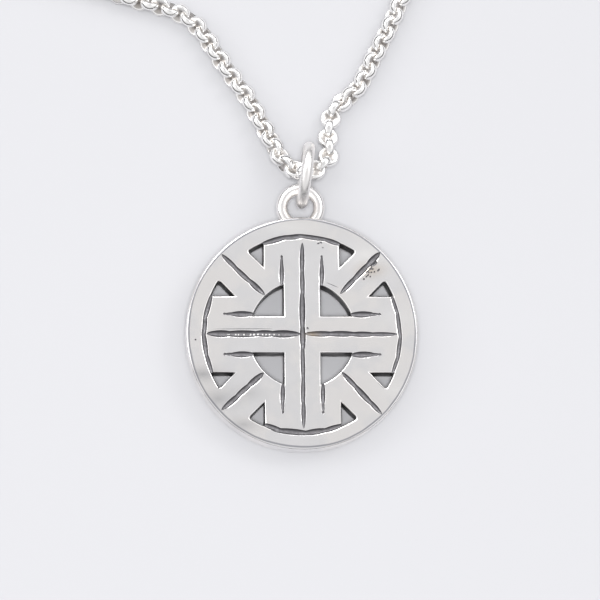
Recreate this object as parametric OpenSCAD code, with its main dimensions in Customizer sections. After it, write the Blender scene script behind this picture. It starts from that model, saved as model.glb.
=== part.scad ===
// Round pierced pendant with a grooved cross pattern, on its jump ring and a fine belcher chain.
// Millimetres, +Z up. The whole piece lies on the surface Z = 0 as it would on a table, seen from above
// with the pendant's bail towards +Y. The origin is the middle of the laid-out piece's footprint.

/* [Disc] */
// Width of the disc, from side to side
disc_w = 24.3; // [16:0.1:40]
// Height of the disc, from its foot to the bail's side
disc_h = 24.7; // [16:0.1:40]
// Thickness of the disc
disc_t = 2.4; // [1.5:0.1:4]
// Bevel round the disc's front edge
front_bevel = 0.3; // [0.1:0.05:1]
// Bevel round the disc's back edge
back_bevel = 0.3; // [0.1:0.05:1]
// How far the pattern's middle sits below the disc's
pattern_drop = 0.15; // [0:0.05:0.5]

/* [Openings] */
// Half the width of the cross bars between the four quarter openings
bar_half = 1.93; // [1:0.01:3]
// Outer radius of the quarter openings
quarter_r = 5.52; // [4:0.01:7]
// Half the width of the four wide arms
arm_half = 4; // [3:0.05:5]
// Half the width of the four diagonal bands
band_half = 2.16; // [1:0.02:3]
// Outer radius of the eight small openings
small_r = 10.35; // [9:0.05:11]

/* [Grooves] */
// Depth of every groove
groove_depth = 0.55; // [0.2:0.05:1]
// Widest place of a cut stroke
groove_w = 0.5; // [0.2:0.05:0.8]
// Width left where one stroke runs into the next, as a share of the widest place
stroke_neck = 0.6; // [0.3:0.05:1]
// Radius of the ring groove's middle line
ring_groove_r = 10.2; // [9:0.05:11]
// Width of the ring groove
ring_groove_w = 0.45; // [0.2:0.05:0.8]
// Distance from the middle at which the long cross grooves end
cross_end = 9.8; // [8:0.05:10]
// Inner end of the diagonal grooves
diagonal_start = 5.8; // [5.6:0.05:8]
// Outer end of the diagonal grooves
diagonal_end = 11.7; // [10:0.05:12]
// Distance of the short grooves from the pattern's axes
short_offset = 2.1; // [1.5:0.05:3]
// Inner end of the short grooves, inside the quarter openings
short_start = 5; // [4:0.05:6]
// Outer end of the short grooves
short_end = 7.95; // [6:0.05:9]
// Usual length of one stroke
stroke_l = 2; // [1:0.1:4]

/* [Bail and jump ring] */
// Outer diameter of the bail soldered to the rim
bail_d = 5.14; // [4:0.02:8]
// Wire of the bail
bail_wire = 1.22; // [0.8:0.02:2]
// Outer diameter of the jump ring
jump_ring_d = 7.1; // [5:0.1:10]
// Wire of the jump ring
jump_ring_wire = 1.2; // [0.8:0.05:2]
// Slant of the jump ring, seen from above, in degrees
jump_ring_slant = 7.6; // [0:0.1:20]

/* [Chain] */
// Outer diameter of a round chain link
link_d = 2.12; // [1.5:0.02:4]
// Thickness of a link's wire, across its ring
link_wire_t = 0.32; // [0.2:0.02:0.6]
// Width of a link's wire, along its ring's axis
link_wire_w = 0.6; // [0.3:0.02:1.2]
// Distance from one link's middle to the next
link_pitch = 1.14; // [1:0.01:2]
// Links modelled one by one, on the stretch beside the pendant
front_links = 50; // [20:2:80]

/* [Clasp] */
// Diameter of the clasp's barrel
clasp_d = 3; // [2:0.1:6]
// Length of the clasp's barrel
clasp_l = 8; // [5:0.5:15]
// Outer diameter of the eye at each end of the clasp
clasp_eye_d = 2.6; // [2:0.1:5]
// Wire of the clasp's eyes
clasp_eye_wire = 0.7; // [0.4:0.05:1.2]

/* [Layout] */
// How far the pendant leans, its bail raised by the jump ring, in degrees
pendant_tilt = 3; // [0:0.1:5]
// Gap left between pieces that rest on one another
piece_gap = 0.1; // [0.05:0.05:0.3]

/* [Hidden] */
$fn = 48;
disc_r = disc_w / 2;
// The outline is two circles this far above and below the middle, run together
disc_spread = (disc_h - disc_w) / 2;
quarters = [0, 90, 180, 270];
// How far a cutter runs past the face it leaves through
past_face = 1;

// The bail is let into the rim by its wire and a little more
bail_ring_r = (bail_d - bail_wire) / 2;
bail_y = disc_h / 2 + bail_d / 2 - bail_wire - 0.1;

// The disc leans on the lower edge of its back
lean_y = -(disc_h / 2 - back_bevel);

// Middle of the bail's far wire once the pendant leans
bail_top_reach = bail_y + bail_ring_r - lean_y;
bail_top = [
    lean_y + bail_top_reach * cos(pendant_tilt) - disc_t / 2 * sin(pendant_tilt),
    bail_top_reach * sin(pendant_tilt) + disc_t / 2 * cos(pendant_tilt)
];

// The jump ring stands on edge, a little right of the middle, and holds the bail's wire against its inside
crossing_gap = 0.15;
bail_hold = jump_ring_d / 2 - jump_ring_wire - bail_wire / 2 - crossing_gap;
bail_drop = jump_ring_d / 2 - bail_top[1];
jump_ring_y = bail_top[0] + sqrt(bail_hold * bail_hold - bail_drop * bail_drop);
jump_ring_x = 0.5;

// The disc's middle, measured from the origin
pendant_at = [2, -79.3, 0];

// Height of the chain's middle line where it lies on the surface
lying = link_d / 2;
// Points worked out along a curve for each step of its route
route_steps = 12;

// Middle line of the modelled links, measured from the disc's middle
front_route = [
    [-21.5, 38.2, lying], [-18, 37, lying], [-14.6, 36.1, lying], [-12, 35, lying], [-10.3, 33.4, lying],
    [-8.6, 30.8, lying], [-6.9, 28.2, lying], [-5.2, 25.7, lying], [-4, 23.3, 1.15], [-2.9, 21, 1.55],
    [-1.9, 18.9, 2.05], [-0.8, 17.8, 2.35], [0.55, 17.4, 2.45], [1.9, 17.8, 2.3], [2.9, 18.8, 2],
    [3.2, 20.1, 1.65], [3.1, 21.6, 1.3], [3.4, 23.5, lying], [4.1, 25, lying], [5.4, 26.1, lying],
    [6.7, 27.6, lying], [7.8, 29.8, lying], [8.9, 32, lying], [10, 34.2, lying], [11.2, 37, lying],
    [12.6, 40, lying], [15, 43.5, lying]
];
// How far the links are turned about the middle line, by the distance run along it
front_turn = [[0, 48], [24, 48], [31, 20], [34, 0], [40, 0], [44, 42], [70, 42]];
front_curve = smooth(front_route);
front_run = distances(front_curve);
front_spare = (front_run[len(front_run) - 1] - link_pitch * (front_links - 1)) / 2;

// Middle line of the plain stretches, from each end of the modelled links round to the clasp
right_route = [
    [24, 51, lying], [39, 61, lying], [54, 73, lying], [65, 89, lying], [69, 108, lying],
    [66, 128, lying], [56, 145, lying], [41, 158, lying], [23, 166.5, lying], [11, 169, 1.1],
    [6.3, 169.5, 1.5]
];
left_route = [
    [-33, 42, lying], [-49, 51.5, lying], [-62, 66, lying], [-70.5, 85, lying], [-73, 107, lying],
    [-69, 129, lying], [-58, 147, lying], [-42, 160, lying], [-23, 167, lying], [-11, 169, 1.1],
    [-6.3, 169.5, 1.5]
];
clasp_at = [0, 169.5, clasp_d / 2];
tube_sides = 8;
tube_ring_every = 5.2;

// Point at share t of the curved run from b to c, on its way from a to d
function curve_point(a, b, c, d, t) =
    0.5 * (2 * b + (c - a) * t + (2 * a - 5 * b + 4 * c - d) * t * t + (3 * b - a - 3 * c + d) * t * t * t);

// Even curve through every point of a route
function smooth(route) =
    let (n = len(route) - 1, ends = concat([2 * route[0] - route[1]], route, [2 * route[n] - route[n - 1]]))
    concat(
        [for (i = [0:n - 1], k = [0:route_steps - 1])
            curve_point(ends[i], ends[i + 1], ends[i + 2], ends[i + 3], k / route_steps)],
        [route[n]]
    );

// Distance run along a curve at each of its points
function distances(curve) =
    let (steps = [for (i = [1:len(curve) - 1]) norm(curve[i] - curve[i - 1])])
    [for (i = 0, s = 0; i < len(curve); s = s + (i < len(steps) ? steps[i] : 0), i = i + 1) s];

// Place on a curve after a given distance
function place_at(curve, run, s) =
    [for (axis = [0:2]) lookup(s, [for (i = [0:len(curve) - 1]) [run[i], curve[i][axis]]])];

function unit(v) = v / norm(v);

module flat_ring(outer_d, wire) {
    rotate_extrude()
        translate([(outer_d - wire) / 2, 0])
            circle(d = wire, $fn = 32);
}

// Quarter opening in the corner between two cross bars
module quarter_opening() {
    intersection() {
        translate([bar_half, bar_half])
            square(quarter_r);
        circle(r = quarter_r);
    }
}

// Small opening between a wide arm and the diagonal band beside it
module small_opening() {
    band_edge = arm_half + band_half * sqrt(2);
    intersection() {
        translate([arm_half, band_edge])
            polygon([[0, 0], [disc_r, disc_r], [0, disc_r]]);
        circle(r = small_r);
    }
}

// Groove along +X, cut as a row of pointed strokes that run into one another
module groove(start, end) {
    last = 2 * round((end - start) / stroke_l);
    function across(i) = (i % 2 == 1 ? 1 : stroke_neck) * groove_w / 2;
    function along(i) = start + (end - start) * i / last;
    polygon(concat(
        [[start, 0]],
        [for (i = [1:last - 1]) [along(i), -across(i)]],
        [[end, 0]],
        [for (i = [last - 1:-1:1]) [along(i), across(i)]]
    ));
}

module straight_grooves() {
    rotate(90)
        groove(-cross_end, cross_end);
    for (side = [0, 180])
        rotate(side)
            groove(groove_w, cross_end);
    for (turn = quarters) {
        rotate(turn + 45)
            groove(diagonal_start, diagonal_end);
        rotate(turn)
            for (side = [-1, 1])
                translate([0, side * short_offset])
                    groove(short_start, short_end);
    }
}

// Ring groove across one wide arm, ending in the small openings beside it
module ring_groove() {
    past_arm = 2;
    half_angle = asin(arm_half / ring_groove_r) + past_arm;
    rotate(90 - half_angle)
        rotate_extrude(angle = 2 * half_angle)
            translate([ring_groove_r - ring_groove_w / 2, 0])
                square([ring_groove_w, groove_depth + past_face]);
}

module disc() {
    difference() {
        for (side = [-1, 1])
            translate([0, side * disc_spread, 0])
                rotate_extrude($fn = 96)
                    polygon([
                        [0, 0], [disc_r - back_bevel, 0], [disc_r, back_bevel],
                        [disc_r, disc_t - front_bevel], [disc_r - front_bevel, disc_t], [0, disc_t]
                    ]);
        translate([0, -pattern_drop, 0]) {
            for (turn = quarters)
                rotate(turn)
                    translate([0, 0, -past_face])
                        linear_extrude(disc_t + 2 * past_face) {
                            quarter_opening();
                            small_opening();
                            mirror([1, 0])
                                small_opening();
                        }
            translate([0, 0, disc_t - groove_depth]) {
                linear_extrude(groove_depth + past_face)
                    straight_grooves();
                for (turn = quarters)
                    rotate(turn)
                        ring_groove();
            }
        }
    }
}

module pendant() {
    color("silver")
        translate(pendant_at + [0, lean_y, 0])
            rotate([pendant_tilt, 0, 0])
                translate([0, -lean_y, 0]) {
                    disc();
                    translate([0, bail_y, disc_t / 2])
                        flat_ring(bail_d, bail_wire);
                }
}

module jump_ring() {
    color("silver")
        translate(pendant_at + [jump_ring_x, jump_ring_y, jump_ring_d / 2])
            rotate([0, 0, -jump_ring_slant])
                rotate([0, 90, 0])
                    flat_ring(jump_ring_d, jump_ring_wire);
}

// Round chain link lying flat about the origin
module link() {
    outer = link_d / 2;
    middle = outer - link_wire_t / 2;
    inner = outer - link_wire_t;
    edge = link_wire_w / 2;
    rotate_extrude($fn = 12)
        polygon([
            [outer, -edge / 2], [outer, edge / 2], [middle, edge],
            [inner, edge / 2], [inner, -edge / 2], [middle, -edge]
        ]);
}

// Chain of interlocked links, each turned a quarter from the one before
module chain_front() {
    color("gainsboro")
        translate(pendant_at)
            for (i = [0:front_links - 1]) {
                s = front_spare + i * link_pitch;
                middle = place_at(front_curve, front_run, s);
                ahead = unit(
                    place_at(front_curve, front_run, s + link_pitch / 2)
                    - place_at(front_curve, front_run, s - link_pitch / 2)
                );
                side = unit(cross([0, 0, 1], ahead));
                up = cross(ahead, side);
                turn = lookup(s, front_turn) + 90 * (i % 2);
                axis = cos(turn) * up + sin(turn) * side;
                across = cross(axis, ahead);
                multmatrix([
                    [ahead[0], across[0], axis[0], middle[0]],
                    [ahead[1], across[1], axis[1], middle[1]],
                    [ahead[2], across[2], axis[2], middle[2]],
                    [0, 0, 0, 1]
                ])
                    link();
            }
}

// Chain as one plain length of its full width, swept along a route from a given distance to its end
module plain_chain(route, from) {
    curve = smooth(route);
    run = distances(curve);
    total = run[len(run) - 1];
    rings = ceil((total - from) / tube_ring_every);
    radius = link_d / 2 / cos(180 / tube_sides);
    points = [for (i = [0:rings])
        let (
            s = from + (total - from) * i / rings,
            middle = place_at(curve, run, s),
            ahead = unit(place_at(curve, run, s + link_d / 2) - place_at(curve, run, s - link_d / 2)),
            side = unit(cross([0, 0, 1], ahead)),
            up = cross(ahead, side)
        )
        for (k = [0:tube_sides - 1])
            let (angle = 360 * (k + 0.5) / tube_sides)
            middle + radius * (cos(angle) * side + sin(angle) * up)];
    faces = concat(
        [[for (k = [0:tube_sides - 1]) k]],
        [for (i = [0:rings - 1], k = [0:tube_sides - 1])
            let (here = i * tube_sides, next = (k + 1) % tube_sides)
            [here + k, here + tube_sides + k, here + tube_sides + next, here + next]],
        [[for (k = [tube_sides - 1:-1:0]) rings * tube_sides + k]]
    );
    polyhedron(points = points, faces = faces);
}

// Two plain lengths, each from just beyond the last modelled link round to the clasp
module chain_back() {
    n = len(front_route) - 1;
    past_link = link_d / 2 + piece_gap - front_spare;
    color("gainsboro")
        translate(pendant_at) {
            plain_chain(
                concat([front_route[n - 1], front_route[n]], right_route),
                norm(front_route[n] - front_route[n - 1]) + past_link
            );
            plain_chain(
                concat([front_route[1], front_route[0]], left_route),
                norm(front_route[1] - front_route[0]) + past_link
            );
        }
}

// Plain barrel clasp with an eye at each end
module clasp() {
    bevel = 0.4;
    color("silver")
        translate(pendant_at + clasp_at) {
            rotate([0, 90, 0])
                rotate_extrude()
                    polygon([
                        [0, -clasp_l / 2], [clasp_d / 2 - bevel, -clasp_l / 2],
                        [clasp_d / 2, -clasp_l / 2 + bevel], [clasp_d / 2, clasp_l / 2 - bevel],
                        [clasp_d / 2 - bevel, clasp_l / 2], [0, clasp_l / 2]
                    ]);
            for (side = [-1, 1])
                translate([side * (clasp_l / 2 + clasp_eye_d / 2 - clasp_eye_wire / 2), 0, 0])
                    flat_ring(clasp_eye_d, clasp_eye_wire);
        }
}

pendant();
jump_ring();
chain_front();
chain_back();
clasp();
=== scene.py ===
import math
import random

import bmesh
import bpy
from mathutils import Matrix, Vector


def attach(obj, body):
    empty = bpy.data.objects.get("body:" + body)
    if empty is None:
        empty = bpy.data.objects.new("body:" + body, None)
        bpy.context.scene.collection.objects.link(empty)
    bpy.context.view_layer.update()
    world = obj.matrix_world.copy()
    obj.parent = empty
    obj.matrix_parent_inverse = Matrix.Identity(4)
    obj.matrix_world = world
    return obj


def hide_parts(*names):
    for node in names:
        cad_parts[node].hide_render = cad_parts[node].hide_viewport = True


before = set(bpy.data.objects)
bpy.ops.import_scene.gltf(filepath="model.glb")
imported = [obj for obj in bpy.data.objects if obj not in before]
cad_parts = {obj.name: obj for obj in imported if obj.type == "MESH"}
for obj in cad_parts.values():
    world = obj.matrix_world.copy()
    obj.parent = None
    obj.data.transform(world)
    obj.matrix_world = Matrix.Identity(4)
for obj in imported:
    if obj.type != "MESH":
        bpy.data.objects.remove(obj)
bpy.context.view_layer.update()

# Studio. The camera looks down on the pendant from almost overhead, a little from the lower left, through a
# long lens. A wide pale floor carries the piece, under soft white light panels.
bpy.context.scene.view_settings.view_transform = "Standard"

# The pieces and the camera's place are given in millimetres, the lights and the floor in metres. disc_x and
# disc_y are the middle of the disc, and the focal length is the photograph's, in its own pixels.
mm = 0.001
disc_x = 2
disc_y = -79.3
focal_pixels = 4026.8
picture_pixels = 600
camera_back = Vector((-0.06775, -0.23799, 0.96890)).normalized()
camera_right = Vector((0, 1, 0)).cross(camera_back).normalized()
camera_up = camera_back.cross(camera_right)
roll = math.radians(-0.75)
turned_right = camera_right * math.cos(roll) + camera_up * math.sin(roll)
turned_up = camera_up * math.cos(roll) - camera_right * math.sin(roll)
camera_place = Vector((disc_x - 28.71, disc_y - 96.77, 410.76)) * mm

bpy.ops.object.select_all(action="DESELECT")
bpy.ops.object.camera_add()
camera = bpy.context.object
camera.matrix_world = Matrix((
    (turned_right.x, turned_up.x, camera_back.x, camera_place.x),
    (turned_right.y, turned_up.y, camera_back.y, camera_place.y),
    (turned_right.z, turned_up.z, camera_back.z, camera_place.z),
    (0, 0, 0, 1),
))
camera.data.sensor_width = 36
camera.data.lens = camera.data.sensor_width * focal_pixels / picture_pixels
camera.data.clip_start = 0.01
camera.data.clip_end = 20
bpy.context.scene.camera = camera

# The sky is dark near the horizon and bright above it, so that edges and hollows stand out in the metal.
world = bpy.data.worlds.new("studio")
bpy.context.scene.world = world
world.use_nodes = True
sky = world.node_tree
sky_place = sky.nodes.new("ShaderNodeTexCoord")
sky_parts = sky.nodes.new("ShaderNodeSeparateXYZ")
sky_fade = sky.nodes.new("ShaderNodeValToRGB")
sky_fade.color_ramp.interpolation = "EASE"
sky_steps = sky_fade.color_ramp.elements
sky_steps.remove(sky_steps[1])
for height, strength in ((0, 0.03), (0.16, 0.10), (0.34, 1.0), (0.6, 1.2), (0.86, 1.05), (0.97, 0.71)):
    step = sky_steps.new(height) if height else sky_steps[0]
    step.color = (strength, strength, strength, 1)
sky.links.new(sky_place.outputs["Generated"], sky_parts.inputs["Vector"])
sky.links.new(sky_parts.outputs["Z"], sky_fade.inputs["Fac"])
# It is a little darker on the camera's side than at the back.
sky_front = sky.nodes.new("ShaderNodeMapRange")
sky_front.interpolation_type = "SMOOTHSTEP"
for socket, value in (("From Min", -0.8), ("From Max", -0.1), ("To Min", 0.72), ("To Max", 1.0)):
    sky_front.inputs[socket].default_value = value
sky.links.new(sky_parts.outputs["Y"], sky_front.inputs["Value"])
sky_strength = sky.nodes.new("ShaderNodeMath")
sky_strength.operation = "MULTIPLY"
sky.links.new(sky_fade.outputs["Color"], sky_strength.inputs[0])
sky.links.new(sky_front.outputs["Result"], sky_strength.inputs[1])
sky.links.new(sky_strength.outputs["Value"], sky.nodes["Background"].inputs["Strength"])
sky.nodes["Background"].inputs["Color"].default_value = (0.985, 0.985, 1.0, 1)


def light_panel(name, place, aim, size, power):
    """Square soft light panel that faces a point on the floor."""
    bpy.ops.object.light_add(type="AREA", location=place)
    panel = bpy.context.object
    panel.name = name
    panel.rotation_euler = (Vector(aim) - Vector(place)).to_track_quat("-Z", "Y").to_euler()
    panel.data.size = size
    panel.data.energy = power
    return panel


# The panel at the back shines on the metal and leaves the floor to the others. The one by the camera lights
# the floor, also inside the openings, and the metal does not show it.
panel_back = light_panel("panel_back", (-0.25, 0.50, 0.62), (0, -0.08, 0), 0.45, 3.0)
panel_back.visible_diffuse = False
light_panel("panel_left", (-0.62, 0.02, 0.36), (0, -0.06, 0), 0.26, 0.6)
light_panel("panel_right", (0.52, 0.22, 0.60), (0, -0.06, 0), 0.30, 1.0)
panel_floor = light_panel("panel_floor", (-0.066, -0.308, 0.971), (0.002, -0.079, 0), 0.22, 10.5)
panel_floor.visible_glossy = False

bpy.ops.mesh.primitive_plane_add(size=3)
floor = bpy.context.object
floor.name = "studio_floor"
floor_paint = bpy.data.materials.new("studio_floor")
floor_paint.use_nodes = True
paint = floor_paint.node_tree.nodes["Principled BSDF"]
paint.inputs["Base Color"].default_value = (0.403, 0.403, 0.417, 1)
paint.inputs["Roughness"].default_value = 0.6
floor.data.materials.append(floor_paint)

# Pendant. A nearly round plate of cast silver, a little taller than wide, with a satin face and a rounded
# rim. Four quarter openings stand in the corners of a cross, with eight small ones round it, sawn right
# through.
disc_radius = 12.15
disc_thickness = 2.4
disc_stretch = 24.7 / 24.3
disc_tilt = 3
lower_edge = 12.05
rim_bevel = 0.3
pattern_drop = 0.15
tolerance = 0.001
pattern_place = Matrix.Translation((0, -pattern_drop, 0)) @ Matrix.Scale(disc_stretch, 4, (0, 1, 0))
pendant_place = (
    Matrix.Translation(Vector((disc_x, disc_y - lower_edge, 0)) * mm)
    @ Matrix.Rotation(math.radians(disc_tilt), 4, "X")
    @ Matrix.Translation(Vector((0, lower_edge, 0)) * mm)
    @ Matrix.Scale(mm, 4)
)


def wake(piece):
    """Selects one object alone and makes it the one that operators act on."""
    bpy.ops.object.select_all(action="DESELECT")
    piece.select_set(True)
    bpy.context.view_layer.objects.active = piece


def cut_away(piece, cutter, overlapping=False):
    """Takes the cutter's shape out of a piece. The cut faces keep the cutter's material."""
    wake(piece)
    cut = piece.modifiers.new("cut", "BOOLEAN")
    cut.operation = "DIFFERENCE"
    cut.object = cutter
    cut.solver = "EXACT"
    cut.use_self = overlapping
    cut.material_mode = "TRANSFER"
    bpy.ops.object.modifier_apply(modifier="cut")
    bpy.data.objects.remove(cutter)


def keep_side(point, normal):
    """Cuts the shape that is being edited by a plane, keeps what lies along the normal and closes it."""
    bpy.ops.mesh.select_all(action="SELECT")
    bpy.ops.mesh.bisect(plane_co=point, plane_no=normal, use_fill=True, clear_inner=True)


def round_edges(piece, chosen, width, steps, **settings):
    """Rounds the chosen edges of the piece that is being edited."""
    shape = bmesh.from_edit_mesh(piece.data)
    for edge in shape.edges:
        edge.select = chosen(edge)
    bpy.ops.mesh.select_mode(type="EDGE")
    shape.select_flush_mode()
    bmesh.update_edit_mesh(piece.data)
    bpy.ops.mesh.bevel(offset=width, segments=steps, profile=0.5, **settings)


def level_at(edge, height):
    """Whether an edge lies at a height."""
    return all(abs(vertex.co.z - height) < tolerance for vertex in edge.verts)


def joined(pieces, name):
    """Makes one object of several."""
    bpy.ops.object.select_all(action="DESELECT")
    for piece in pieces:
        piece.select_set(True)
    bpy.context.view_layer.objects.active = pieces[0]
    bpy.ops.object.join()
    pieces[0].name = name
    return pieces[0]


def copy_of(piece, placement):
    """Copy of a piece with its own mesh, put in its place."""
    twin = bpy.data.objects.new(piece.name, piece.data.copy())
    bpy.context.scene.collection.objects.link(twin)
    twin.data.transform(placement)
    return twin


def set_finish(piece, finish):
    """Gives a piece one finish all over."""
    piece.data.materials.clear()
    piece.data.materials.append(finish)


def group_socket(group, side, name, kind="NodeSocketFloat", value=None):
    """Adds one named input or output to a node group."""
    socket = group.interface.new_socket(name=name, in_out=side, socket_type=kind)
    if value is not None:
        socket.default_value = value


def wired(tree, kind, settings=None, **inputs):
    """Adds a node, sets its options and joins or fills its inputs, whose names are given with underscores."""
    node = tree.nodes.new(kind)
    for option, value in (settings or {}).items():
        setattr(node, option, value)
    for name, value in inputs.items():
        key = int(name[1:]) if name[0] == "_" else name.replace("_", " ")
        if isinstance(value, bpy.types.NodeSocket):
            tree.links.new(value, node.inputs[key])
        else:
            node.inputs[key].default_value = value
    return node


# Worked silver is never quite even: it has broad soft hollows from filing and polishing, a fine grain, and
# short hair lines left by the polishing cloth.
worked_silver = bpy.data.node_groups.new("worked_silver", "ShaderNodeTree")
group_socket(worked_silver, "INPUT", "Place", "NodeSocketVector")
group_socket(worked_silver, "INPUT", "Hollows", value=1)
group_socket(worked_silver, "INPUT", "Grain", value=1)
group_socket(worked_silver, "INPUT", "Hair Lines", value=1)
group_socket(worked_silver, "OUTPUT", "Mottle")
group_socket(worked_silver, "OUTPUT", "Lines")
group_socket(worked_silver, "OUTPUT", "Height")
start = worked_silver.nodes.new("NodeGroupInput")
end = worked_silver.nodes.new("NodeGroupOutput")
broad = wired(worked_silver, "ShaderNodeTexNoise", Vector=start.outputs["Place"], Scale=210.0, Detail=3.0)
fine = wired(worked_silver, "ShaderNodeTexNoise", Vector=start.outputs["Place"], Scale=4200.0, Detail=3.0)
stretch = wired(worked_silver, "ShaderNodeMapping", Vector=start.outputs["Place"],
                Rotation=(0.2, 0.1, 0.65), Scale=(420.0, 9000.0, 5000.0))
hair = wired(worked_silver, "ShaderNodeTexNoise", Vector=stretch.outputs["Vector"], Scale=1.0, Detail=2.0)
hollow_height = wired(worked_silver, "ShaderNodeMath", {"operation": "MULTIPLY"},
                      _0=broad.outputs["Fac"], _1=start.outputs["Hollows"])
grain_height = wired(worked_silver, "ShaderNodeMath", {"operation": "MULTIPLY"},
                     _0=fine.outputs["Fac"], _1=start.outputs["Grain"])
hair_height = wired(worked_silver, "ShaderNodeMath", {"operation": "MULTIPLY"},
                    _0=hair.outputs["Fac"], _1=start.outputs["Hair Lines"])
both = wired(worked_silver, "ShaderNodeMath", {"operation": "MULTIPLY_ADD"},
             _0=grain_height.outputs["Value"], _1=0.05, _2=hollow_height.outputs["Value"])
height = wired(worked_silver, "ShaderNodeMath", {"operation": "MULTIPLY_ADD"},
               _0=hair_height.outputs["Value"], _1=0.04, _2=both.outputs["Value"])
worked_silver.links.new(broad.outputs["Fac"], end.inputs["Mottle"])
worked_silver.links.new(hair.outputs["Fac"], end.inputs["Lines"])
worked_silver.links.new(height.outputs["Value"], end.inputs["Height"])


def new_finish(name, roughness, metallic=1.0):
    """Starts a metal material, and returns it with its tree, its shader and its object coordinates."""
    finish = bpy.data.materials.new(name)
    finish.use_nodes = True
    tree = finish.node_tree
    shader = tree.nodes["Principled BSDF"]
    shader.inputs["Metallic"].default_value = metallic
    shader.inputs["Roughness"].default_value = roughness
    place = tree.nodes.new("ShaderNodeTexCoord").outputs["Object"]
    return finish, tree, shader, place


def spot(tree, place, centre, size, turn=0.0):
    """Soft oval patch on the disc's face, 1 in its middle and 0 from its edge on. Millimetres."""
    x, y = centre
    middle = pendant_place @ Vector((x, y, disc_thickness))
    moved = wired(tree, "ShaderNodeVectorMath", {"operation": "SUBTRACT"}, _0=place, _1=tuple(middle))
    turned = wired(tree, "ShaderNodeMapping", Vector=moved.outputs["Vector"],
                   Rotation=(0, 0, -math.radians(turn)), Scale=(1000 / size[0], 1000 / size[1], 450))
    fade = wired(tree, "ShaderNodeTexGradient", {"gradient_type": "QUADRATIC_SPHERE"},
                 Vector=turned.outputs["Vector"])
    return fade.outputs["Fac"]


def band(tree, value, low, high, to_low=0.0, to_high=1.0):
    """Maps a value from low..high to to_low..to_high, smoothly and within those ends."""
    ranged = wired(tree, "ShaderNodeMapRange", {"interpolation_type": "SMOOTHSTEP"}, Value=value,
                   From_Min=low, From_Max=high, To_Min=to_low, To_Max=to_high)
    return ranged.outputs["Result"]


def times(tree, first, second):
    """Product of two values."""
    return wired(tree, "ShaderNodeMath", {"operation": "MULTIPLY"}, _0=first, _1=second).outputs["Value"]


def blended(tree, share, first, second):
    """Colour between two colours by a share."""
    mixed = wired(tree, "ShaderNodeMix", {"data_type": "RGBA"}, _0=share, _6=first, _7=second)
    return mixed.outputs[2]


def roughened(tree, shader, height, strength, depth):
    """Gives a finish a fine relief, to a depth in metres."""
    bump = wired(tree, "ShaderNodeBump", Strength=strength, Distance=depth, Height=height)
    tree.links.new(bump.outputs["Normal"], shader.inputs["Normal"])


clear_silver = (0.965, 0.94, 0.92, 1)
greyer_silver = (0.865, 0.855, 0.855, 1)
painted_reflection_grey = (0.52, 0.515, 0.52, 1)
painted_highlight_silver = (1.0, 0.985, 0.965, 1)
rim_grey = (0.28, 0.285, 0.32, 1)
pit_tan = (0.70, 0.60, 0.50, 1)
satin_silver, tree, shader, place = new_finish("satin_silver", 0.3)
skin = wired(tree, "ShaderNodeGroup", {"node_tree": worked_silver}, Place=place, Hollows=1.0, Grain=1.0,
             Hair_Lines=1.0)
colour = blended(tree, band(tree, skin.outputs["Mottle"], 0.41, 0.59), clear_silver, greyer_silver)
# Greyer patches on the rim at lower left: a painted reflection, the grey that the rim mirrors there.
for centre, size, turn, share in (((-10.4, -4.4), (4.2, 1.7), -68, 0.8), ((-8.8, -7.0), (4.0, 2.3), -52, 0.7),
                                  ((-6.2, -9.7), (3.8, 1.6), -34, 0.6), ((-5.6, -6.4), (3.2, 1.8), 42, 0.4)):
    grey_reflection_share = times(tree, spot(tree, place, centre, size, turn), share)
    colour = blended(tree, grey_reflection_share, colour, painted_reflection_grey)
# Brighter ones on the rim at the right and at the top: a painted highlight, where the rounded rim catches the
# light.
for centre, size, turn, share in (((7.0, 8.4), (6.0, 3.4), -40, 0.95), ((11.0, 1.6), (6.0, 2.2), 98, 0.95),
                                  ((9.6, -6.0), (4.5, 2.0), 58, 0.9), ((-1.0, 11.3), (6.0, 1.6), 4, 0.9)):
    highlight_share = times(tree, spot(tree, place, centre, size, turn), share)
    colour = blended(tree, highlight_share, colour, painted_highlight_silver)
# A soft grey line follows the rim, where the flat face turns into the rounded edge.
rim_line_radius = 12.0
centred = wired(tree, "ShaderNodeVectorMath", {"operation": "SUBTRACT"}, _0=place,
                _1=tuple(pendant_place @ Vector((0, 0, disc_thickness))))
flat = wired(tree, "ShaderNodeVectorMath", {"operation": "MULTIPLY"}, _0=centred.outputs["Vector"],
             _1=(1000, 1000 / disc_stretch, 0))
from_middle = wired(tree, "ShaderNodeVectorMath", {"operation": "LENGTH"}, _0=flat.outputs["Vector"])
wander = wired(tree, "ShaderNodeMath", {"operation": "MULTIPLY_ADD"}, _0=skin.outputs["Mottle"], _1=0.3,
               _2=from_middle.outputs["Value"])
off_line = wired(tree, "ShaderNodeMath", {"operation": "SUBTRACT"}, _0=wander.outputs["Value"],
                 _1=rim_line_radius)
near_line = wired(tree, "ShaderNodeMath", {"operation": "ABSOLUTE"}, _0=off_line.outputs["Value"])
rim_line = band(tree, near_line.outputs["Value"], 0.03, 0.15, 0.75, 0.0)
colour = blended(tree, rim_line, colour, rim_grey)
# The face is tanned a little round the casting pits beside the upper right groove.
tanned = times(tree, spot(tree, place, (7.2, 6.7), (2.9, 1.6), 45), 0.85)
colour = blended(tree, tanned, colour, pit_tan)
tree.links.new(colour, shader.inputs["Base Color"])
satin = band(tree, skin.outputs["Mottle"], 0.3, 0.7, 0.19, 0.27)
tree.links.new(satin, shader.inputs["Roughness"])
roughened(tree, shader, skin.outputs["Height"], 0.35, 0.00008)
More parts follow.
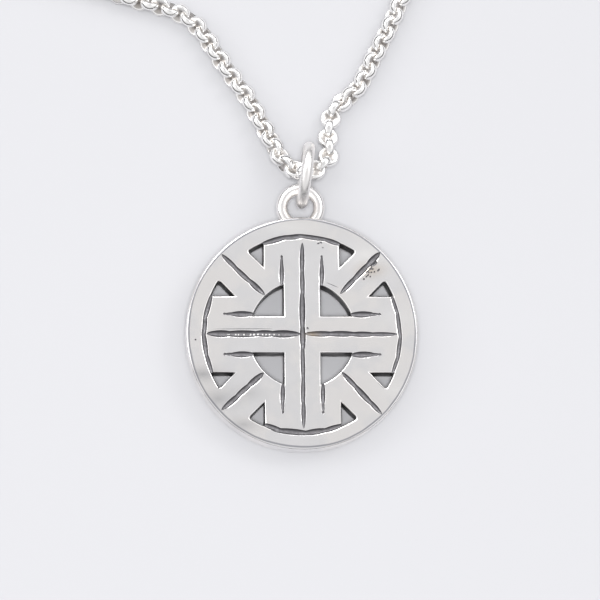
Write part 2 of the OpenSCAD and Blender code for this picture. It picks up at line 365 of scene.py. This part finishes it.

# The sawn walls are painted near black, partly the black of the bath and partly painted shade inside the
# openings, but for a worn line along their lower edge.
thick_black = (0.045, 0.043, 0.047, 1)
thin_black = (0.12, 0.115, 0.115, 1)
worn_silver = (0.85, 0.83, 0.81, 1)
black_and_shade_wall, tree, shader, place = new_finish("black_and_shade_wall", 0.5, 0.8)
edge_noise = wired(tree, "ShaderNodeTexNoise", Vector=place, Scale=900.0, Detail=3.0)
rise = tree.nodes.new("ShaderNodeAttribute")
rise.attribute_name = "rise"
wavy = wired(tree, "ShaderNodeMath", {"operation": "MULTIPLY_ADD"}, _0=edge_noise.outputs["Fac"], _1=-0.3,
             _2=rise.outputs["Fac"])
worn = band(tree, wavy.outputs["Value"], -0.1, -0.02, 1.0, 0.0)
black = blended(tree, band(tree, edge_noise.outputs["Fac"], 0.4, 0.65), thick_black, thin_black)
tree.links.new(blended(tree, worn, black, worn_silver), shader.inputs["Base Color"])
roughened(tree, shader, edge_noise.outputs["Fac"], 0.5, 0.00006)

bpy.ops.object.select_all(action="DESELECT")
bpy.ops.mesh.primitive_cylinder_add(
    vertices=192, radius=disc_radius, depth=disc_thickness, location=(0, 0, disc_thickness / 2)
)
disc = bpy.context.object
bpy.ops.object.transform_apply(location=True, rotation=True, scale=True)
disc.data.materials.append(satin_silver)
bpy.ops.object.mode_set(mode="EDIT")
for height, steps in ((disc_thickness, 6), (0, 4)):
    round_edges(disc, lambda edge: level_at(edge, height), rim_bevel, steps)
bpy.ops.object.mode_set(mode="OBJECT")
disc.data.transform(Matrix.Scale(disc_stretch, 4, (0, 1, 0)))

# The openings, before they are turned to the four sides. A quarter opening lies between two bars of the
# cross. The inner corner of a small one is where the side of an arm meets the side of a diagonal band.
bar_half = 1.93
quarter_radius = 5.52
arm_half = 4
inner_corner_y = 7.055
small_radius = 10.35
outer_corner_round = 0.35
saw_depth = 6
bpy.ops.mesh.primitive_cylinder_add(vertices=128, radius=quarter_radius, depth=saw_depth)
quarter_opening = bpy.context.object
bpy.ops.object.mode_set(mode="EDIT")
keep_side((bar_half, 0, 0), (1, 0, 0))
keep_side((0, bar_half, 0), (0, 1, 0))
bpy.ops.object.mode_set(mode="OBJECT")


def is_outer_corner(edge):
    """Whether an edge is the upright one where a small opening meets the rim and the diagonal band."""
    upright = (edge.verts[0].co.xy - edge.verts[1].co.xy).length < tolerance
    return upright and edge.verts[0].co.x > 5 and edge.calc_face_angle(0) > 0.5


# The saw has turned in a small arc at the outer corner.
bpy.ops.mesh.primitive_cylinder_add(vertices=192, radius=small_radius, depth=saw_depth)
small_opening = bpy.context.object
bpy.ops.object.mode_set(mode="EDIT")
keep_side((arm_half, 0, 0), (1, 0, 0))
keep_side((arm_half, inner_corner_y, 0), (-1, 1, 0))
round_edges(small_opening, is_outer_corner, outer_corner_round, 5)
bpy.ops.object.mode_set(mode="OBJECT")

saw_cuts = []
for quarter in range(4):
    turn = pattern_place @ Matrix.Rotation(quarter * math.pi / 2, 4, "Z")
    mirrored = turn @ Matrix.Scale(-1, 4, (1, 0, 0))
    saw_cuts.append(copy_of(quarter_opening, turn))
    saw_cuts.append(copy_of(small_opening, turn))
    saw_cuts.append(copy_of(small_opening, mirrored))
    saw_cuts[-1].data.flip_normals()
bpy.data.objects.remove(quarter_opening)
bpy.data.objects.remove(small_opening)
saw_cut = joined(saw_cuts, "saw_cut")
set_finish(saw_cut, black_and_shade_wall)
cut_away(disc, saw_cut)


def is_sawn(edge, height):
    """Whether an edge is a sharp one round an opening, at a height."""
    inside = all(vertex.co.xy.length < 11 for vertex in edge.verts)
    return level_at(edge, height) and inside and edge.calc_face_angle(0) > 1


bpy.ops.object.mode_set(mode="EDIT")
for height, width, steps in ((disc_thickness, 0.2, 4), (0, 0.1, 2)):
    round_edges(disc, lambda edge: is_sawn(edge, height), width, steps, clamp_overlap=False, material=0)
bpy.ops.object.mode_set(mode="OBJECT")

# The bail is a ring of round wire, soldered to the rim with a little collar of solder on either side.
bail_radius = 1.96
bail_wire_radius = 0.61
bail_y = 13.6
collar_x = 1.78
collar_y = 12.2
half_thickness = disc_thickness / 2
bpy.ops.object.select_all(action="DESELECT")
bpy.ops.mesh.primitive_torus_add(
    major_radius=bail_radius, minor_radius=bail_wire_radius, major_segments=96, minor_segments=32,
    location=(0, bail_y, half_thickness)
)
bail = bpy.context.object
solder = []
for side in (-1, 1):
    bpy.ops.mesh.primitive_uv_sphere_add(
        segments=32, ring_count=16, location=(side * collar_x, collar_y, half_thickness)
    )
    collar = bpy.context.object
    collar.scale = (0.62, 0.3, 0.6)
    collar.rotation_euler.z = -side * math.radians(12)
    solder.append(collar)
for part in [bail] + solder:
    wake(part)
    bpy.ops.object.transform_apply(location=True, rotation=True, scale=True)
    part.data.materials.append(satin_silver)
    wake(disc)
    fuse = disc.modifiers.new("fuse", "BOOLEAN")
    fuse.operation = "UNION"
    fuse.object = part
    fuse.solver = "EXACT"
    bpy.ops.object.modifier_apply(modifier="fuse")
    bpy.data.objects.remove(part)

# Grooves. Every groove is cut by hand as a row of leaf-shaped strokes that run into one another, so its
# edges waver. The hollows are blackened, and their up-facing bottoms are painted lighter, a painted light
# where the sky falls on them, made uneven by grit. A bright lip, which slopes gently, follows both banks.
stroke_steepness = 0.7
stroke_lap = 0.3
lip_width = 0.13
lip_spread = 1.67
lip_steepness = 1.3
ring_groove_radius = 10.2
ring_groove_half = 25
leaf_offset = 2.1
hand = random.Random(7)

groove_black = (0.15, 0.146, 0.155, 1)
lit_groove_grey = (0.31, 0.303, 0.315, 1)
tarnish_brown = (0.46, 0.37, 0.27, 1)
painted_glint_white = (0.98, 0.97, 0.95, 1)
dark_groove, tree, shader, place = new_finish("dark_groove", 0.5, 0.85)
grit = wired(tree, "ShaderNodeTexNoise", Vector=place, Scale=3200.0, Detail=3.0)
# Where a groove faces up its colour is lightened: painted light, made uneven by the grit.
facing = tree.nodes.new("ShaderNodeNewGeometry").outputs["Normal"]
upward = wired(tree, "ShaderNodeSeparateXYZ", Vector=facing).outputs["Z"]
lit_bottoms = times(tree, band(tree, upward, 0.45, 0.98), band(tree, grit.outputs["Fac"], 0.3, 0.62, 0.45, 1.0))
colour = blended(tree, lit_bottoms, groove_black, lit_groove_grey)
# A stretch of the cross groove right of the middle has a brown tarnish.
brown = times(tree, spot(tree, place, (1.1, -0.15), (1.5, 0.6)), 0.85)
colour = blended(tree, brown, colour, tarnish_brown)
# In its left half, bright specks along the up-facing bottom are painted glints.
east = wired(tree, "ShaderNodeSeparateXYZ", Vector=place).outputs["X"]
glint_cells = wired(tree, "ShaderNodeTexVoronoi", {"voronoi_dimensions": "1D"}, W=east, Scale=2100.0)
glints = times(tree, band(tree, glint_cells.outputs["Distance"], 0.1, 0.2, 1.0, 0.0),
               band(tree, spot(tree, place, (-4.9, -0.1), (4.6, 0.16)), 0.0, 0.25))
colour = blended(tree, times(tree, glints, band(tree, upward, 0.8, 0.95)), colour, painted_glint_white)
tree.links.new(colour, shader.inputs["Base Color"])
roughened(tree, shader, grit.outputs["Fac"], 0.5, 0.00004)

bpy.ops.object.select_all(action="DESELECT")
bpy.ops.mesh.primitive_uv_sphere_add(segments=16, ring_count=12, radius=1, rotation=(0, math.pi / 2, 0))
graver_stroke = bpy.context.object
bpy.ops.object.transform_apply(location=True, rotation=True, scale=True)
for vertex in graver_stroke.data.vertices:
    taper = max(0, 1 - vertex.co.x ** 2) ** 0.15
    vertex.co = (vertex.co.x, vertex.co.y * taper, vertex.co.z * taper)
strokes = []
lips = []


def cut_stroke(x, y, heading, length, width, lip=lip_width):
    """One leaf-shaped stroke of the graver, centred at x, y, as deep as suits its width."""
    place = pattern_place @ Matrix.Translation((x, y, disc_thickness)) @ Matrix.Rotation(heading, 4, "Z")
    size = Matrix.Diagonal((length / 2, width / 2, width * stroke_steepness, 1))
    strokes.append(copy_of(graver_stroke, place @ size))
    if lip:
        depth = lip_steepness * (width / 2 + lip)
        raised = Matrix.Translation((0, 0, depth * math.sqrt(1 - 1 / lip_spread ** 2)))
        size = Matrix.Diagonal((lip_spread * (length / 2 + lip), lip_spread * (width / 2 + lip), depth, 1))
        lips.append(copy_of(graver_stroke, place @ raised @ size))


def cut_row(place, start, end, usual_length, width):
    """Row of strokes along a path, where place gives x, y and heading for a distance run."""
    count = max(1, round((end - start) / usual_length))
    marks = [start + (end - start) * i / count for i in range(count + 1)]
    for i in range(1, count):
        marks[i] += hand.uniform(-0.22, 0.22) * usual_length
    for first, last in zip(marks, marks[1:]):
        lap = stroke_lap * (last - first)
        first -= lap if first > start else 0
        last += lap if last < end else 0
        x, y, heading = place((first + last) / 2)
        sideways = hand.uniform(-0.03, 0.03)
        x -= math.sin(heading) * sideways
        y += math.cos(heading) * sideways
        cut_stroke(x, y, heading + math.radians(hand.uniform(-1.2, 1.2)), last - first,
                   width * hand.uniform(0.86, 1.16))


def cut_straight(start, end, usual_length, width):
    """Row of strokes from one point to another."""
    run = Vector(end) - Vector(start)
    heading = math.atan2(run.y, run.x)

    def place(s):
        return (*(Vector(start) + run.normalized() * s), heading)

    cut_row(place, 0, run.length, usual_length, width)


def cut_ring(bearing, width):
    """Row of strokes along the ring, equally far to either side of a bearing."""
    radius = ring_groove_radius

    def place(s):
        return radius * math.cos(s / radius), radius * math.sin(s / radius), s / radius + math.pi / 2

    first = radius * math.radians(bearing - ring_groove_half)
    last = radius * math.radians(bearing + ring_groove_half)
    cut_row(place, first, last, 2.3, width)


# The upright of the cross, the left and right halves of its bar, and the four diagonals.
cut_straight((0.03, -9.8), (0.03, 9.6), 2.8, 0.57)
cut_straight((-0.18, 0.05), (-10, 0.05), 2.5, 0.8)
cut_straight((0.18, 0.05), (10, 0.05), 2.3, 0.56)
for start, end, width in (((4.0, 4.25), (8.25, 8.6), 0.64), ((-3.9, 4.05), (-8.4, 8.35), 0.61),
                          ((-4.05, -4.0), (-8.5, -7.9), 0.63), ((4.05, -3.9), (8.2, -8.3), 0.58)):
    cut_straight(start, end, 2.0, width)
# At each end of the cross an arc of the ring, and on both sides of the bar a leaf that ends in two nicks.
for bearing, ring_width, leaf_width in (
    (0, 0.47, 0.69), (90, 0.6, 0.52), (180, 0.56, 0.66), (270, 0.61, 0.51)
):
    cut_ring(bearing, ring_width)
    base = math.radians(bearing)
    for side in (-1, 1):
        across = side * leaf_offset
        for middle, length, width, lip in (
            (6.3, 2.7, leaf_width, lip_width), (7.45, 1.5, 0.34, 0.05), (8.1, 0.34, 0.28, 0.03)
        ):
            cut_stroke(
                middle * math.cos(base) - across * math.sin(base),
                middle * math.sin(base) + across * math.cos(base),
                base + math.radians(hand.uniform(-2, 2)), length, width, lip
            )

# Casting pits lie in a cluster beside the upper right groove, whose bank is ragged there, and a few stand
# alone. Two hair-thin scratches run beside the cross groove and the upper right opening.
for x, y, turn, length, width in (
    (7.55, 7.3, 25, 0.6, 0.28), (7.8, 7.5, 70, 0.45, 0.26), (7.25, 6.95, 60, 0.5, 0.22),
    (6.9, 6.6, 35, 0.5, 0.2), (8.05, 6.74, 50, 0.4, 0.19), (6.51, 5.79, 20, 0.24, 0.19),
    (6.78, 6.05, 60, 0.24, 0.16), (6.95, 6.2, 40, 0.28, 0.17), (7.18, 6.05, 80, 0.22, 0.15),
    (7.44, 6.85, 10, 0.26, 0.16), (7.62, 6.55, 60, 0.22, 0.14), (7.3, 6.5, 30, 0.24, 0.15),
    (7.05, 6.45, 0, 0.2, 0.13), (1.78, 9.52, 20, 0.3, 0.16), (2.04, 9.6, -25, 0.3, 0.17),
    (2.24, 9.07, 0, 0.15, 0.13), (-11.15, -0.6, 0, 0.19, 0.17), (-8.77, -5.6, 0, 0.19, 0.17),
    (0.56, 0.62, -50, 0.28, 0.2)
):
    cut_stroke(x, y, math.radians(turn), length, width, lip=0)
cut_stroke(-6.3, 0.55, math.radians(0.6), 6.4, 0.05, lip=0)
cut_stroke(3.2, 5.15, math.radians(-22), 1.4, 0.06, lip=0)
bpy.data.objects.remove(graver_stroke)
for cutters, finish in ((lips, satin_silver), (strokes, dark_groove)):
    graving = joined(cutters, "graving")
    set_finish(graving, finish)
    cut_away(disc, graving, overlapping=True)

rise = disc.data.attributes.new("rise", "FLOAT", "POINT")
rise.data.foreach_set("value", [vertex.co.z / disc_thickness for vertex in disc.data.vertices])
wake(disc)
bpy.ops.object.mode_set(mode="EDIT")
bpy.ops.mesh.select_all(action="SELECT")
bpy.ops.mesh.remove_doubles(threshold=tolerance)
bpy.ops.mesh.dissolve_degenerate(threshold=tolerance)
bpy.ops.object.mode_set(mode="OBJECT")
bpy.ops.object.shade_smooth_by_angle(angle=math.radians(38))
bpy.ops.object.modifier_add(type="WEIGHTED_NORMAL")
disc.modifiers[-1].keep_sharp = True
bpy.ops.object.modifier_apply(modifier=disc.modifiers[-1].name)
disc.data.transform(pendant_place)
disc.name = disc.data.name = "pendant_silver"
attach(disc, "root")
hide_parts("pendant")

# Jump ring. A closed ring of heavy round wire, softly polished, which joins the bail to the chain. Its ends
# meet in a fine soldered seam.
jump_radius = 2.95
jump_wire_radius = 0.6
jump_x = 2.5
jump_y = disc_y + 16.765
jump_turn = -7.6
seam_depth = 0.03
seam_angle = math.radians(24)
bpy.ops.object.select_all(action="DESELECT")
bpy.ops.mesh.primitive_torus_add(
    major_radius=jump_radius, minor_radius=jump_wire_radius, major_segments=120, minor_segments=36
)
jump_ring = bpy.context.object
jump_ring.name = jump_ring.data.name = "jump_ring_bright"
bpy.ops.object.mode_set(mode="EDIT")
shape = bmesh.from_edit_mesh(jump_ring.data)
for face in shape.faces:
    face.select = False
for vertex in shape.verts:
    vertex.select = abs(math.atan2(vertex.co.y, vertex.co.x) - seam_angle) < 0.01
bpy.ops.mesh.select_mode(type="VERT")
bmesh.update_edit_mesh(jump_ring.data)
bpy.ops.transform.shrink_fatten(value=-seam_depth)
bpy.ops.object.mode_set(mode="OBJECT")
jump_ring.data.transform(
    Matrix.Translation(Vector((jump_x, jump_y, jump_radius + jump_wire_radius)) * mm)
    @ Matrix.Rotation(math.radians(jump_turn), 4, "Z")
    @ Matrix.Rotation(math.radians(90), 4, "Y")
    @ Matrix.Scale(mm, 4)
)
wake(jump_ring)
bpy.ops.object.shade_smooth()

ring_clear = (0.96, 0.94, 0.92, 1)
ring_greyer = (0.90, 0.88, 0.865, 1)
bright_silver, tree, shader, place = new_finish("bright_silver", 0.16)
skin = wired(tree, "ShaderNodeGroup", {"node_tree": worked_silver}, Place=place, Hollows=1.2, Grain=0.6,
             Hair_Lines=0.8)
colour = blended(tree, band(tree, skin.outputs["Mottle"], 0.35, 0.65), ring_clear, ring_greyer)
tree.links.new(colour, shader.inputs["Base Color"])
tree.links.new(band(tree, skin.outputs["Lines"], 0.3, 0.7, 0.27, 0.4), shader.inputs["Roughness"])
roughened(tree, shader, skin.outputs["Height"], 0.3, 0.00008)
jump_ring.data.materials.append(bright_silver)
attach(jump_ring, "root")
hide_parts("jump_ring")

# Chain beside the pendant. Round links of flattened silver wire, each soldered shut through the one before,
# so that neighbours stand a quarter turn apart. It lies in loose bends and runs through the jump ring.
link_pitch = 1.14
front_count = 50
link_across = 2.2
wire_thickness = 0.46
wire_width = 0.84
squareness = 0.25
ring_radius = (link_across - wire_thickness) / 2
# Where the chain rests on the floor its route is drawn at the height lying, and each link is let down to
# link_rest, or as far as it goes.
lying = 1.06
link_rest = 0.95
curve_steps = 12
front_route = [
    (-21.5, 38.2, lying), (-18, 37, lying), (-14.6, 36.1, lying), (-12, 35, lying), (-10.3, 33.4, lying),
    (-8.6, 30.8, lying), (-6.9, 28.2, lying), (-5.2, 25.7, lying), (-4, 23.3, 1.15), (-2.9, 21, 1.55),
    (-1.9, 18.9, 2.05), (-0.8, 17.8, 2.35), (0.55, 17.4, 2.45), (1.9, 17.8, 2.3), (2.9, 18.8, 2),
    (3.2, 20.1, 1.65), (3.1, 21.6, 1.3), (3.4, 23.5, lying), (4.1, 25, lying), (5.4, 26.1, lying),
    (6.7, 27.6, lying), (7.8, 29.8, lying), (8.9, 32, lying), (10, 34.2, lying), (11.2, 37, lying),
    (12.6, 40, lying), (15, 43.5, lying)
]
right_route = [
    (24, 51, lying), (39, 61, lying), (54, 73, lying), (65, 89, lying), (69, 108, lying),
    (66, 128, lying), (56, 145, lying), (41, 158, lying), (23, 166.5, lying), (11, 169, 1.1),
    (6.1, 169.5, 1.5)
]
left_route = [
    (-33, 42, lying), (-49, 51.5, lying), (-62, 66, lying), (-70.5, 85, lying), (-73, 107, lying),
    (-69, 129, lying), (-58, 147, lying), (-42, 160, lying), (-23, 167, lying), (-11, 169, 1.1),
    (-6.1, 169.5, 1.5)
]


def even_curve(route):
    """Smooth curve through every point of a route, with the distance run at each of its points."""
    points = [Vector(point) for point in route]
    ends = [2 * points[0] - points[1]] + points + [2 * points[-1] - points[-2]]
    curve = []
    for a, b, c, d in zip(ends, ends[1:], ends[2:], ends[3:]):
        for k in range(curve_steps):
            t = k / curve_steps
            curve.append(0.5 * (2 * b + (c - a) * t + (2 * a - 5 * b + 4 * c - d) * t * t
                                + (3 * b - a - 3 * c + d) * t ** 3))
    curve.append(points[-1])
    run = [0.0]
    for here, there in zip(curve, curve[1:]):
        run.append(run[-1] + (there - here).length)
    return curve, run


def along(curve, run, s):
    """Point of a curve at a distance run."""
    s = min(max(s, 0), run[-1])
    k = max(i for i in range(len(run) - 1) if run[i] <= s)
    return curve[k].lerp(curve[k + 1], (s - run[k]) / (run[k + 1] - run[k]))


def stepped(pairs, s):
    """Value read between the steps of a list of distance and value."""
    for (s0, v0), (s1, v1) in zip(pairs, pairs[1:]):
        if s <= s1:
            return v0 + (v1 - v0) * max(0, s - s0) / (s1 - s0)
    return pairs[-1][1]


front_curve, front_run = even_curve(front_route)
front_spare = (front_run[-1] - link_pitch * (front_count - 1)) / 2
chain_curve, chain_run = even_curve(left_route[::-1] + front_route + right_route)
before_front = chain_run[curve_steps * (len(left_route) + 1)] - front_run[curve_steps]
left_end = before_front + front_spare
right_end = left_end + (front_count - 1) * link_pitch


def link_placement(s, turn):
    """Where a link lies: its middle on the curve, its hole turned about the curve by an angle."""
    middle = along(chain_curve, chain_run, s)
    half = link_pitch / 2
    ahead = along(chain_curve, chain_run, s + half) - along(chain_curve, chain_run, s - half)
    ahead.normalize()
    sideways = Vector((0, 0, 1)).cross(ahead).normalized()
    upward = ahead.cross(sideways)
    axis = math.cos(turn) * upward + math.sin(turn) * sideways
    across = axis.cross(ahead)
    lean = abs(axis.z)
    lowest = ring_radius * math.sqrt(1 - lean * lean) + math.hypot(
        wire_thickness / 2 * math.sqrt(1 - lean * lean), wire_width / 2 * lean
    )
    drop = lying - link_rest if middle.z < lying + 0.05 else 0
    middle.z = max(lowest, middle.z - drop)
    middle = middle + Vector((disc_x, disc_y, 0))
    return Matrix((
        (ahead.x * mm, across.x * mm, axis.x * mm, middle.x * mm),
        (ahead.y * mm, across.y * mm, axis.y * mm, middle.y * mm),
        (ahead.z * mm, across.z * mm, axis.z * mm, middle.z * mm),
        (0, 0, 0, 1),
    ))


def round_link(sides, wire_sides):
    """One link, flat about the origin, with its inner side marked for the tarnish and painted shade put
    there.
    """
    bpy.ops.object.select_all(action="DESELECT")
    bpy.ops.mesh.primitive_torus_add(
        major_radius=ring_radius, minor_radius=1, major_segments=sides, minor_segments=wire_sides
    )
    link = bpy.context.object
    bpy.ops.object.shade_smooth()
    hollow = link.data.attributes.new("hollow", "FLOAT", "POINT")
    for vertex, mark in zip(link.data.vertices, hollow.data):
        outward = vertex.co.xy.length - ring_radius
        mark.value = min(1, max(0, -outward))
        fullness = max(abs(outward), abs(vertex.co.z)) ** -squareness
        reach = (ring_radius + wire_thickness / 2 * fullness * outward) / vertex.co.xy.length
        vertex.co = (vertex.co.x * reach, vertex.co.y * reach, vertex.co.z * fullness * wire_width / 2)
    return link


# The distance run along the front stretch, and how many degrees its links are turned about the chain there.
front_link = round_link(30, 14)
front_turn = [(0, 48), (24, 48), (31, 20), (34, 0), (40, 0), (44, 42), (70, 42)]
links = []
for i in range(front_count):
    turn = stepped(front_turn, front_spare + i * link_pitch) + 90 * (i % 2)
    links.append(copy_of(front_link, link_placement(left_end + i * link_pitch, math.radians(turn))))
bpy.data.objects.remove(front_link)
front_links = joined(links, "chain_front_links")
front_links.data.name = "chain_front_links"

link_bright = (0.98, 0.97, 0.955, 1)
link_tarnish_and_shade = (0.13, 0.09, 0.06, 1)
chain_silver, tree, shader, place = new_finish("chain_silver", 0.17)
skin = wired(tree, "ShaderNodeGroup", {"node_tree": worked_silver}, Place=place, Hollows=1.0, Grain=0.5,
             Hair_Lines=0.6)
# The inner side of each link is darkened brown: partly tarnish, partly painted shade where the links hide one
# another.
inner = tree.nodes.new("ShaderNodeAttribute")
inner.attribute_name = "hollow"
tarnish_and_shade = times(tree, band(tree, inner.outputs["Fac"], 0.25, 0.95),
                band(tree, skin.outputs["Mottle"], 0.3, 0.6, 0.7, 1.0))
colour = blended(tree, tarnish_and_shade, link_bright, link_tarnish_and_shade)
tree.links.new(colour, shader.inputs["Base Color"])
dull = wired(tree, "ShaderNodeMath", {"operation": "MULTIPLY_ADD"}, _0=tarnish_and_shade, _1=0.35,
             _2=band(tree, skin.outputs["Lines"], 0.3, 0.7, 0.08, 0.18))
tree.links.new(dull.outputs["Value"], shader.inputs["Roughness"])
roughened(tree, shader, skin.outputs["Height"], 0.3, 0.00006)
set_finish(front_links, chain_silver)
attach(front_links, "root")
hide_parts("chain_front")

# Rest of the chain. The same links carry on from both ends of the front stretch, lie round in an open loop
# and end in the clasp's eyes, where the last link stands upright.
# Near the clasp they turn upright little by little, over untwist_length.
untwist_length = 14
back_link = round_link(12, 6)
links = []
for start_run, end_run, first_turn in ((right_end, chain_run[-1], 132), (left_end, 0.0, 42)):
    count = round(abs(end_run - start_run) / link_pitch)
    for i in range(1, count + 1):
        s = start_run + (end_run - start_run) * i / count
        turn = first_turn + 90 * (i % 2)
        to_clasp = (count - i) * link_pitch
        upright = 90 - (first_turn + 90 * (count % 2))
        share = max(0, 1 - to_clasp / untwist_length)
        turn += (upright + 90) % 180 * share - 90 * share
        links.append(copy_of(back_link, link_placement(s, math.radians(turn))))
bpy.data.objects.remove(back_link)
back_links = joined(links, "chain_back_links")
back_links.data.name = "chain_back_links"
set_finish(back_links, chain_silver)
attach(back_links, "root")
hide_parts("chain_back")

# Clasp. A plain barrel of turned silver with rounded shoulders, a fine line round its middle where its two
# halves meet, and a soldered eye at each end.
barrel_radius = 1.5
barrel_length = 8
shoulder = 0.4
line_depth = 0.08
eye_radius = 0.95
eye_wire_radius = 0.35
eye_x = 4.95
clasp_y = disc_y + 169.5
clasp_middle = Matrix.Translation(Vector((disc_x, clasp_y, barrel_radius)) * mm) @ Matrix.Scale(mm, 4)
bpy.ops.object.select_all(action="DESELECT")
bpy.ops.mesh.primitive_cylinder_add(
    vertices=64, radius=barrel_radius, depth=barrel_length, rotation=(0, math.pi / 2, 0)
)
clasp = bpy.context.object
bpy.ops.object.transform_apply(location=True, rotation=True, scale=True)
bpy.ops.object.mode_set(mode="EDIT")
bpy.ops.mesh.select_all(action="DESELECT")
round_edges(clasp, lambda edge: abs(edge.verts[0].co.x - edge.verts[1].co.x) < tolerance, shoulder, 6)
for x in (-3.1, -2.9, -line_depth, 0, line_depth, 2.9, 3.1):
    bpy.ops.mesh.select_all(action="SELECT")
    bpy.ops.mesh.bisect(plane_co=(x, 0, 0), plane_no=(1, 0, 0))
shape = bmesh.from_edit_mesh(clasp.data)
bpy.ops.mesh.select_mode(type="VERT")
for vertex in shape.verts:
    vertex.select = abs(vertex.co.x) < 0.01
bmesh.update_edit_mesh(clasp.data)
bpy.ops.transform.shrink_fatten(value=-line_depth)
bpy.ops.object.mode_set(mode="OBJECT")
parts = [clasp]
for side in (-1, 1):
    bpy.ops.object.select_all(action="DESELECT")
    bpy.ops.mesh.primitive_torus_add(
        major_radius=eye_radius, minor_radius=eye_wire_radius, major_segments=48, minor_segments=18,
        location=(side * eye_x, 0, 0)
    )
    parts.append(bpy.context.object)
    wake(parts[-1])
    bpy.ops.object.transform_apply(location=True, rotation=True, scale=True)
clasp = joined(parts, "clasp_barrel")
clasp.data.name = "clasp_barrel"
clasp.data.transform(clasp_middle)
wake(clasp)
bpy.ops.object.shade_smooth_by_angle(angle=math.radians(30))
set_finish(clasp, bright_silver)
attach(clasp, "root")
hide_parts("clasp")
